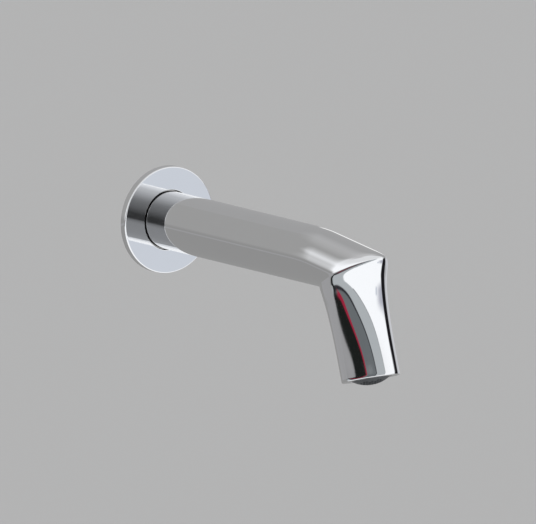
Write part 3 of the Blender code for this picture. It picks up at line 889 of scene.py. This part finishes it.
class SPOUT_OT_add_flange(bpy.types.Operator):
    """Spin the round wall flange with its rounded edge, hollow back and groove for the tube's ring"""

    bl_idname = "wall_spout.add_flange"
    bl_label = "Add wall flange"

    def execute(self, context):
        scene = context.scene
        sizes = scene.spout_flange
        outer = sizes.diameter / 2
        bore = scene.spout_casting.tube_diameter / 2 + sizes.gap
        edge = sizes.edge_radius
        front = sizes.depth
        recess_inner = bore + sizes.hub
        recess_outer = outer - sizes.rim
        recess_depth = front - sizes.plate
        ring_radius, ring_forward = tube_ring_place(scene)
        groove_half = sizes.ring_cord / 2 + CLEARANCE
        groove = ring_radius + groove_half
        lip = 0.00015
        fillet = 0.0004
        rear = sizes.hub_rear
        outline = arc((bore + lip, front - lip), lip, 180, 90, 4)
        outline += [(bore + fillet, front), (outer - edge - fillet, front)]
        for centre, radius, start, end, steps in (
            ((outer - edge, front - edge), edge, 90, 0, 10),
            ((outer - lip, lip), lip, 0, -90, 3),
            ((recess_outer + lip, lip), lip, 270, 180, 3),
            ((recess_outer - fillet, recess_depth - fillet), fillet, 0, 90, 4),
            ((recess_inner + fillet, recess_depth - fillet), fillet, 90, 180, 4),
            ((recess_inner - lip, rear + lip), lip, 0, -90, 3),
            ((bore + lip, rear + lip), lip, 270, 180, 3),
        ):
            outline += arc(centre, radius, start, end, steps)
        for side, radii in ((-groove_half, (bore, groove)), (groove_half, (groove, bore))):
            outline += [(radius, ring_forward + side) for radius in radii]
        flange = turned(outline, 192, forward_frame())
        place_piece(flange, "chrome_flange", "polished_chrome", "chrome_plate", "wall_flange")
        return {"FINISHED"}


def tube_ring_place(scene):
    """Radius of the ring round the tube, and how far forward of the wall it lies."""
    sizes = scene.spout_flange
    radius = scene.spout_casting.tube_diameter / 2 + CLEARANCE + sizes.ring_cord / 2
    lip = (sizes.depth - sizes.hub_rear - sizes.ring_cord - 2 * CLEARANCE) / 2
    return radius, sizes.hub_rear + lip + sizes.ring_cord / 2 + CLEARANCE


class SPOUT_OT_add_rings(bpy.types.Operator):
    """Mould the black ring between tube and flange and the two rings on the nipple"""

    bl_idname = "wall_spout.add_rings"
    bl_label = "Add sealing rings"

    def execute(self, context):
        scene = context.scene
        connection = scene.spout_connection
        black = "sealing_rubber"
        radius, forward = tube_ring_place(scene)
        cord = scene.spout_flange.ring_cord
        ring = cord_ring(radius, forward, cord, forward_frame(), steps=160)
        place_piece(ring, "tube_ring", black, "black_rubber", "flange_o_ring")
        cord = connection.seal_cord
        seal_radius = connection.spigot_diameter / 2 - cord / 2
        for side, forward in (
            ("rear", connection.rear_seal),
            ("front", connection.rear_seal + connection.seal_spacing),
        ):
            ring = cord_ring(seal_radius, forward, cord, forward_frame())
            place_piece(ring, f"spigot_ring_{side}", black, "black_rubber", f"nipple_o_ring_{side}")
        return {"FINISHED"}


class SPOUT_OT_add_foam_seal(bpy.types.Operator):
    """Spin the soft-edged foam ring that the flange presses on the wall"""

    bl_idname = "wall_spout.add_foam_seal"
    bl_label = "Add foam seal"

    def execute(self, context):
        scene = context.scene
        sizes = scene.spout_flange
        inner = scene.spout_casting.tube_diameter / 2 + sizes.gap + sizes.hub + CLEARANCE
        outer = sizes.diameter / 2 - sizes.rim - CLEARANCE
        top = sizes.depth - sizes.plate - CLEARANCE
        soft = 0.0005
        outline = []
        for radius, height, start in (
            (inner + soft, top - soft, 180),
            (outer - soft, top - soft, 90),
            (outer - soft, soft, 0),
            (inner + soft, soft, 270),
        ):
            outline += arc((radius, height), soft, start, start - 90, 4)
        seal = turned(outline, ROUND_STEPS, forward_frame())
        make_foam(scene.spout_colours.foam)
        place_piece(seal, "foam_seal", "cell_foam", "grey_foam", "wall_seal")
        return {"FINISHED"}


class SPOUT_OT_add_nipple(bpy.types.Operator):
    """Cut a helical wall thread, join it to the grooved spigot, and bore the nipple for water and key"""

    bl_idname = "wall_spout.add_nipple"
    bl_label = "Add inlet nipple"

    def execute(self, context):
        scene = context.scene
        sizes = scene.spout_connection
        spigot = sizes.spigot_diameter / 2
        major = sizes.thread_diameter / 2
        pitch = sizes.thread_pitch
        thread_depth = 0.64 * pitch
        rear = -sizes.thread_length
        thread = threaded(major, major - thread_depth, pitch, rear - OVERCUT, OVERCUT, SMALL_STEPS)
        settle(thread, forward_frame())
        chamfer = 0.001
        lead = 0.0006
        clear = 0.0001
        profile = [(0, 0), (major - lead, 0), (major + clear, -lead - clear)]
        profile += [(major + clear, rear + chamfer), (major - chamfer, rear), (0, rear)]
        envelope = turned(profile, ROUND_STEPS, forward_frame(), ring=False)
        combine(thread, envelope, "INTERSECT")
        groove_half = sizes.seal_cord / 2 + CLEARANCE
        floor = spigot - sizes.seal_cord - CLEARANCE
        edge = 0.0008
        ease = 0.0001
        outline = [(0, sizes.spigot_length), (spigot - edge, sizes.spigot_length)]
        outline.append((spigot, sizes.spigot_length - edge))
        for forward in (sizes.rear_seal + sizes.seal_spacing, sizes.rear_seal):
            outline += [
                (spigot, forward + groove_half + ease),
                (spigot - ease, forward + groove_half),
                (floor, forward + groove_half),
                (floor, forward - groove_half),
                (spigot - ease, forward - groove_half),
                (spigot, forward - groove_half - ease),
            ]
        half = sizes.screw_diameter / 2
        lock = sizes.lock_depth
        overlap = 0.002
        outline += [
            (spigot, sizes.screw_forward + half),
            (spigot - lock, sizes.screw_forward + half - lock),
            (spigot - lock, sizes.screw_forward - half + lock),
            (spigot, sizes.screw_forward - half),
            (spigot, -overlap),
            (0, -overlap),
        ]
        nipple = turned(outline, ROUND_STEPS, forward_frame(), ring=False)
        combine(nipple, thread, "UNION")
        top = sizes.spigot_length + OVERCUT
        waterway = prism(SMALL_STEPS, sizes.bore, rear - OVERCUT, top, forward_frame())
        combine(nipple, waterway, "DIFFERENCE")
        corners = hexagon_corners(sizes.key_flats)
        key = prism(6, corners, sizes.spigot_length - sizes.key_depth, top, forward_frame())
        combine(nipple, key, "DIFFERENCE")
        place_piece(nipple, "brass_nipple", "turned_brass", "brass", "inlet_nipple")
        return {"FINISHED"}


class SPOUT_OT_add_grub_screw(bpy.types.Operator):
    """Thread the grub screw under the tube, with its cone point and hexagon socket"""

    bl_idname = "wall_spout.add_grub_screw"
    bl_label = "Add grub screw"

    def execute(self, context):
        scene = context.scene
        sizes = scene.spout_connection
        tube_radius = scene.spout_casting.tube_diameter / 2
        radius = sizes.screw_diameter / 2
        point = sizes.spigot_diameter / 2 - sizes.lock_depth + CLEARANCE
        length = tube_radius - sizes.screw_recess - point
        cone = radius / 2
        pitch = 0.0008
        thread_depth = 0.6 * pitch
        chamfer = 0.0003
        clear = 0.0001
        key_depth = 0.003
        place = Matrix.Translation((0, -sizes.screw_forward, -tube_radius + sizes.screw_recess))
        end = length + OVERCUT
        screw = threaded(radius, radius - thread_depth, pitch, -OVERCUT, end, SCREW_STEPS)
        settle(screw, place)
        profile = [(0, length), (radius - cone, length), (radius + clear, length - cone)]
        profile += [(radius + clear, chamfer + clear), (radius - chamfer, 0), (0, 0)]
        combine(screw, turned(profile, SMALL_STEPS, place, ring=False), "INTERSECT")
        corners = hexagon_corners(sizes.screw_key)
        combine(screw, prism(6, corners, -OVERCUT, key_depth, place), "DIFFERENCE")
        place_piece(screw, "steel_grub_screw", "zinc_steel", "steel", "set_screw")
        return {"FINISHED"}


class SPOUT_OT_add_aerator_sleeve(bpy.types.Operator):
    """Spin the aerator's thin sleeve and cut the notches for its key"""

    bl_idname = "wall_spout.add_aerator_sleeve"
    bl_label = "Add aerator sleeve"

    def execute(self, context):
        scene = context.scene
        sizes = scene.spout_aerator
        outer = sizes.bore / 2 - CLEARANCE
        inner = outer - sizes.sleeve_wall
        top = sizes.sleeve_length
        edge = 0.0001
        notches = 4
        outline = [(inner, edge), (inner + edge, 0), (outer - edge, 0), (outer, edge)]
        outline += [(radius, top - height) for radius, height in reversed(outline)]
        sleeve = turned(outline, ROUND_STEPS, outlet_frame())
        middle = (outer - sizes.sleeve_wall / 2, 0)
        across_corners = sizes.notch_width * math.sqrt(2)
        depth = sizes.notch_depth
        for i in range(notches):
            place = outlet_frame() @ Matrix.Rotation(math.tau * (i + 0.5) / notches, 4, "Z")
            notch = prism(4, across_corners, -depth, depth, place, middle, math.pi / 4)
            combine(sleeve, notch, "DIFFERENCE")
        place_piece(sleeve, "aerator_sleeve", "polished_chrome", "chrome_plate", "aerator_housing")
        return {"FINISHED"}


def dome(radius, rise, steps):
    """(radius, height) points of a cap that hangs below the outlet, from its lowest point to its rim."""
    ball = (radius**2 + rise**2) / (2 * rise)
    widest = math.asin(min(1.0, radius / ball))
    points = []
    for i in range(steps + 1):
        angle = widest * i / steps
        points.append((ball * math.sin(angle), -rise + ball * (1 - math.cos(angle))))
    return points


def honeycomb(limit, pitch):
    """Middles of a honeycomb's cells that lie within a radius."""
    rows = int(limit / pitch) + 1
    places = []
    for row in range(-rows, rows + 1):
        for column in range(-2 * rows, 2 * rows + 1):
            x = pitch * (column + (row % 2) / 2)
            y = pitch * row * math.sqrt(3) / 2
            if math.hypot(x, y) <= limit:
                places.append((x, y))
    return places


class SPOUT_OT_add_outlet_dome(bpy.types.Operator):
    """Spin the dark dome out of which the stream comes and cut its honeycomb cells"""

    bl_idname = "wall_spout.add_outlet_dome"
    bl_label = "Add outlet dome"

    def execute(self, context):
        scene = context.scene
        sizes = scene.spout_aerator
        outer = sizes.bore / 2 - 2 * CLEARANCE - sizes.sleeve_wall
        inner = outer - sizes.dome_edge
        outside = dome(outer, sizes.dome_rise, 20)
        inside = dome(inner, sizes.dome_rise - sizes.dome_shell, 14)
        rim = [(inner, sizes.dome_rim), (outer, sizes.dome_rim)]
        grid = turned(inside + rim + outside[::-1], ROUND_STEPS, outlet_frame(), ring=False)
        cell = sizes.cell_pitch - sizes.cell_web
        rim_margin = 0.45 * cell
        cutter_height = 0.01
        cutter_middle = -0.001
        bpy.ops.object.select_all(action="DESELECT")
        for i, (x, y) in enumerate(honeycomb(inner - rim_margin, sizes.cell_pitch)):
            bpy.ops.mesh.primitive_cylinder_add(
                vertices=6,
                radius=cell / math.sqrt(3),
                depth=cutter_height,
                location=(x, y, cutter_middle),
            )
            if i == 0:
                bpy.ops.object.transform_apply()
                bpy.ops.object.mode_set(mode="EDIT")
        bpy.ops.object.mode_set(mode="OBJECT")
        cells = context.object
        settle(cells, outlet_frame())
        combine(grid, cells, "DIFFERENCE")
        place_piece(grid, "honeycomb_dome", "dark_moulded_plastic", "dark_plastic", "outlet_grid")
        return {"FINISHED"}


class SPOUT_OT_finish_cartridge(bpy.types.Operator):
    """Give the aerator's inner parts their moulded plastic and rubber"""

    bl_idname = "wall_spout.finish_cartridge"
    bl_label = "Finish aerator cartridge"

    def execute(self, context):
        finishes = {
            "white_moulded_plastic": ("aerator_case", "jet_plate", "strainer"),
            "dark_moulded_plastic": ("mixing_screen_lower", "mixing_screen_upper"),
            "sealing_rubber": ("aerator_gasket", "flow_regulator_ring"),
        }
        for name, nodes in finishes.items():
            for node in nodes:
                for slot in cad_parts[node].material_slots:
                    slot.material = finish(name)
        return {"FINISHED"}


class SPOUT_OT_set_up_stage(bpy.types.Operator):
    """Lay the pale floor, light the studio and place the camera"""

    bl_idname = "wall_spout.set_up_stage"
    bl_label = "Set up stage"

    def execute(self, context):
        scene = context.scene
        studio = scene.spout_studio
        bpy.ops.object.select_all(action="DESELECT")
        bpy.ops.mesh.primitive_circle_add(
            vertices=96,
            radius=studio.floor_radius,
            fill_type="NGON",
            location=(0, 0, -studio.floor_drop),
        )
        floor = context.object
        floor.name = "floor"
        floor.visible_glossy = False
        made = bpy.data.materials.new("pale_floor")
        NodeTree(made).surface({"Base Color": (*scene.spout_colours.floor, 1.0), "Roughness": 0.9})
        floor.data.materials.append(made)
        self.add_hood()
        self.light_world(scene)
        self.place_camera(scene)
        return {"FINISHED"}

    def light_world(self, scene):
        """The chrome sees a room of soft walls and dark bands; the rest is lit by plain white."""
        world = bpy.data.worlds.new("studio")
        scene.world = world
        tree = NodeTree(world)
        room = tree.add("ShaderNodeBackground", values={"Color": self.room_colour(tree)})
        plain = tree.add("ShaderNodeBackground", values={"Color": (1.0, 1.0, 1.0, 1.0)})
        backdrop = (*scene.spout_colours.backdrop, 1.0)
        seen = tree.add("ShaderNodeBackground", values={"Color": backdrop})
        diffuse_ray = tree.add("ShaderNodeLightPath", output="Is Diffuse Ray")
        camera_ray = tree.add("ShaderNodeLightPath", output="Is Camera Ray")
        both = tree.blended(camera_ray, tree.blended(diffuse_ray, room, plain), seen)
        tree.add("ShaderNodeOutputWorld", values={"Surface": both})

    def room_colour(self, tree):
        """The room by direction: degrees round from the front, right positive, and degrees up."""
        point = tree.add("ShaderNodeTexCoord", output="Generated")
        (across, along, up) = [tree.axis(point, name) for name in "XYZ"]
        turn = across.math("ARCTAN2", across, 0 - along) * math.degrees(1)
        rise = up.math("ARCSINE", up) * math.degrees(1)
        from_left = turn + 100
        fade = tree.fade
        below = tree.below
        band = tree.band

        def over(level, slope, curve):
            return rise - (level + from_left * (slope + from_left * curve))

        over_strip = over(2.045, 0.3556, 0.001924)
        over_stripe = over(-2.03, 0.269, 0.00259)
        over_green = over(-6.07, 0.135, 0.00211)
        over_grey = over(-11.85, 0.0835, 0.00133)
        over_side = over(1.74, 0.328, 0.00157)
        low_right = below(over(3.3, 0.37, -0.0015), -0.5, 0.9)
        low_left = below(over_strip, 0.6, 1.2) * below(turn, -96, -92)
        low = low_right.math("MAXIMUM", low_right, low_left)
        raised = rise.math("MAXIMUM", rise - 20, 0.0)
        bent = turn + raised * raised * 0.02 - 3.5 + fade(rise, 12, 24) * 3.5
        sides = below(turn, -140, -132) + fade(turn, 110, 140)
        far_sides = below(turn, -156, -136) + fade(turn, 90, 120)
        deep = below(over_stripe, 5.5, 7)
        red = band(turn, -122, -40, 12) * band(over_stripe, -0.7, 0.5, 0.5) * low_right
        black = (0.012, 0.014, 0.013)
        layers = (
            # The ceiling, then the greys behind the spout that the tube and the crown mirror.
            (fade(rise, 12, 40), (0.80, 0.81, 0.83)),
            (below(bent, -147, -140), (0.367, 0.367, 0.367)),
            (fade(turn, 78, 104) * below(rise, 54, 72) * below(bent, 210, 232), (0.385, 0.385, 0.39)),
            (sides * below(rise, -5, 2), (0.31, 0.31, 0.31)),
            (far_sides * fade(rise, 36, 56) * below(rise, 60, 74), (0.55, 0.55, 0.56)),
            # A lamp behind on the right, two soft greys and the black edge between them.
            (band(turn, 134, 142.6, 1.0) * band(rise, -1, 9, 4), (1.0, 1.0, 1.0)),
            (band(turn, 44, 100, 34) * band(rise, -14, 1, 9), (0.50, 0.51, 0.58)),
            (band(turn, 104, 140, 12) * band(rise, -14, 0, 5), (0.62, 0.63, 0.66)),
            (band(turn - 0.5 * rise, 75, 103, 6) * band(rise, -24, 9, 6), (0.012, 0.012, 0.014)),
            # What the nozzle's left mirrors: light grey, dark grey, a fine dark line, then black.
            (band(turn, -140, 34, 8) * fade(over_grey, -0.4, 0.6) * low, (0.46, 0.49, 0.51)),
            (
                band(turn, -142, 0, 8) * fade(over_green, -0.3, 0.5) * below(over_stripe, 3, 6) * low,
                (0.150, 0.165, 0.175),
            ),
            (band(turn, -132, 0, 6) * band(over_green, -0.7, 0.7, 0.8) * low, (0.03, 0.03, 0.035)),
            (band(turn, -138, -40, 6) * fade(over_stripe, -0.4, 0.6) * deep * low, black),
            (band(turn, -142.5, -130, 2) * band(over_side, -1.9, -0.7, 0.5), black),
            # The grey strip, the red stripe, a line along the light grey, and the flange's picture.
            (
                below(turn, -94, -92) * fade(over_strip, -0.1, 0.1) * below(over_strip, 1.9, 3.4),
                (0.36, 0.36, 0.37),
            ),
            (red, (0.36, 0.02, 0.05)),
            (band(turn, -70, 34, 4) * band(over_grey, -0.35, 0.35, 0.5) * low, (0.16, 0.17, 0.18)),
            (band(turn, 31, 40, 4) * band(rise, -13.5, -6.5, 3), (0.66, 0.70, 0.77)),
        )
        colour = (1.07, 1.09, 1.12, 1.0)
        for mask, layer in layers:
            colour = tree.mixed(mask, colour, (*layer, 1.0))
        return colour

    def add_hood(self):
        """A grey hood round the tube that glows, seen only in the flange's picture of the tube: its
        greys are a painted reflection of light and shade on the tube.
        """
        near_edge = (0.080, 0.040)
        far_edge = (0.035, 0.090)
        hood = turned([near_edge, far_edge], SMALL_STEPS, forward_frame(), ring=False)
        hood.name = "hood"
        hood.visible_camera = False
        hood.visible_diffuse = False
        hood.visible_shadow = False
        made = bpy.data.materials.new("hood_cloth")
        tree = NodeTree(made)
        point = tree.object_point()
        across = tree.axis(point, "X")
        turn = across.math("ARCTAN2", across, tree.axis(point, "Z")) * (1 / math.tau) + 0.5
        # Painted reflection: glowing greys round the axis, from light grey through black and back to
        # light, which the flange shows in its picture of the tube.
        greys = (
            (0.00, 0.33),
            (0.08, 0.27),
            (0.19, 0.25),
            (0.218, 0.16),
            (0.232, 0.025),
            (0.275, 0.025),
            (0.295, 0.05),
            (0.34, 0.115),
            (0.394, 0.165),
            (0.422, 0.21),
            (0.485, 0.40),
            (0.523, 0.50),
            (0.566, 0.57),
            (0.63, 0.80),
        )
        colour = tree.add(
            "ShaderNodeValToRGB",
            {"stops": [(place, (grey, grey * 1.03, grey * 1.08)) for place, grey in greys]},
            {"Fac": turn},
            output="Color",
        )
        black = (0.0, 0.0, 0.0, 1.0)
        glow = {"Base Color": black, "Emission Color": colour, "Emission Strength": 1.0}
        shown = tree.add("ShaderNodeBsdfPrincipled", values=glow)
        clear = tree.add("ShaderNodeBsdfTransparent")
        backfacing = tree.add("ShaderNodeNewGeometry", output="Backfacing")
        bounces = tree.add("ShaderNodeLightPath", output="Glossy Depth")
        twice_mirrored = tree.fade(bounces, 1.2, 1.8)
        open_side = tree.band(turn, 0.66, 0.97, 0.01)
        inside = backfacing * twice_mirrored * (1 - open_side)
        mixed = tree.blended(inside, clear, shown)
        tree.add("ShaderNodeOutputMaterial", values={"Surface": mixed})
        hood.data.materials.append(made)

    def place_camera(self, scene):
        """Stands the camera at the photograph's angle and height, without perspective."""
        studio = scene.spout_studio
        turn = studio.azimuth
        rise = studio.elevation
        ahead = Vector(
            (-math.sin(turn) * math.cos(rise), math.cos(turn) * math.cos(rise), -math.sin(rise))
        )
        right = Vector((math.cos(turn), math.sin(turn), 0))
        upward = right.cross(ahead)
        flange_front = Vector((0, -scene.spout_flange.depth, 0))
        aim = flange_front + right * studio.aim_right - upward * studio.aim_down
        bpy.ops.object.camera_add(location=aim - ahead * studio.distance)
        camera = bpy.context.object
        camera.rotation_euler = ahead.to_track_quat("-Z", "Y").to_euler()
        camera.data.type = "ORTHO"
        camera.data.ortho_scale = studio.frame_width
        camera.data.clip_end = 20
        scene.camera = camera
        scene.view_settings.view_transform = "Standard"


OPERATORS = (
    SPOUT_OT_add_casting,
    SPOUT_OT_add_flange,
    SPOUT_OT_add_rings,
    SPOUT_OT_add_foam_seal,
    SPOUT_OT_add_nipple,
    SPOUT_OT_add_grub_screw,
    SPOUT_OT_add_aerator_sleeve,
    SPOUT_OT_add_outlet_dome,
    SPOUT_OT_finish_cartridge,
    SPOUT_OT_set_up_stage,
)


class SPOUT_PT_panel(bpy.types.Panel):
    """Lists the steps that build the wall spout"""

    bl_idname = "SPOUT_PT_panel"
    bl_label = "Wall Spout"
    bl_space_type = "VIEW_3D"
    bl_region_type = "UI"
    bl_category = "Wall Spout"

    def draw(self, context):
        for operator in OPERATORS:
            self.layout.operator(operator.bl_idname)
        for name, group in SETTINGS.items():
            box = self.layout.box()
            for setting in group.__annotations__:
                box.prop(getattr(context.scene, name), setting)


def register():
    for group in SETTINGS.values():
        bpy.utils.register_class(group)
    for name, group in SETTINGS.items():
        setattr(bpy.types.Scene, name, PointerProperty(type=group))
    for operator in OPERATORS:
        bpy.utils.register_class(operator)
    bpy.utils.register_class(SPOUT_PT_panel)


def unregister():
    bpy.utils.unregister_class(SPOUT_PT_panel)
    for operator in reversed(OPERATORS):
        bpy.utils.unregister_class(operator)
    for name, group in SETTINGS.items():
        delattr(bpy.types.Scene, name)
        bpy.utils.unregister_class(group)


def main():
    """Builds every piece and the stage."""
    register()
    for operator in OPERATORS:
        group, step = operator.bl_idname.split(".")
        getattr(getattr(bpy.ops, group), step)()


if __name__ == "__main__":
    main()
